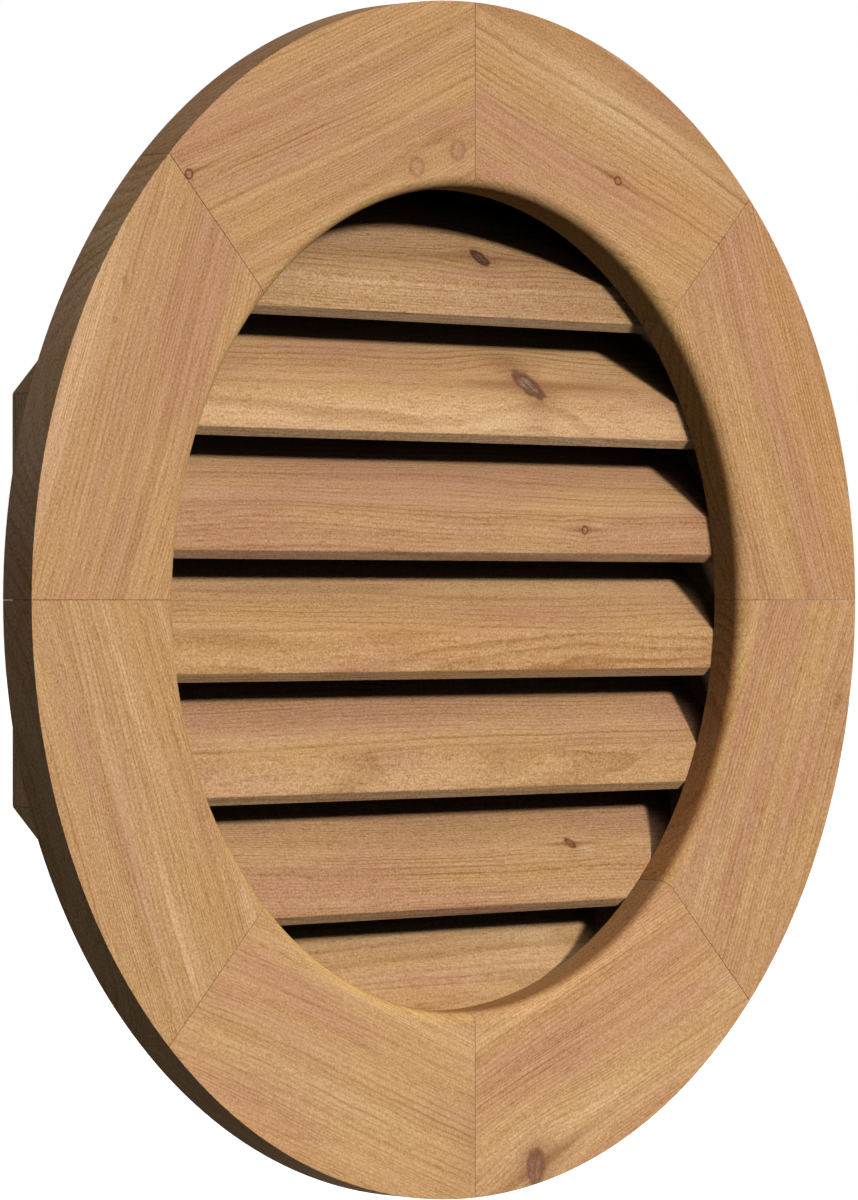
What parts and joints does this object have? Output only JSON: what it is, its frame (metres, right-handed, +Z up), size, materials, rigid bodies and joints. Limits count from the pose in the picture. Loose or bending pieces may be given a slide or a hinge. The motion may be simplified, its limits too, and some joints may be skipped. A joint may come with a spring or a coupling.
{
  "type": "round gable vent",
  "caption": "Round wooden gable vent: a mitred face ring over an octagonal box with fixed sloping slats and a wire screen behind them.",
  "frame": {"origin": "on the ring's axis, in the plane of the wall, where the ring's back face rests", "axes": "+X to the right seen from the front, +Y into the wall, +Z up"},
  "size_m": [0.5716, 0.0784, 0.5716],
  "materials": {
    "face_wood": "smooth planed cedar, unfinished",
    "box_wood": "smooth planed cedar, unfinished",
    "slat_wood": "smooth planed cedar, unfinished",
    "screen_wire": "dull zinc coating"
  },
  "bodies": {
    "root": {"face_right_upper": "face_wood", "face_top_right": "face_wood", "face_top_left": "face_wood", "face_left_upper": "face_wood", "face_left_lower": "face_wood", "face_bottom_left": "face_wood", "face_bottom_right": "face_wood", "face_right_lower": "face_wood", "box_right": "box_wood", "box_top_right": "box_wood", "box_top": "box_wood", "box_top_left": "box_wood", "box_left": "box_wood", "box_bottom_left": "box_wood", "box_bottom": "box_wood", "box_bottom_right": "box_wood", "slat_1": "slat_wood", "slat_2": "slat_wood", "slat_3": "slat_wood", "slat_4": "slat_wood", "slat_5": "slat_wood", "slat_6": "slat_wood", "slat_7": "slat_wood", "bird_screen": "screen_wire"}
  },
  "joints": []
}
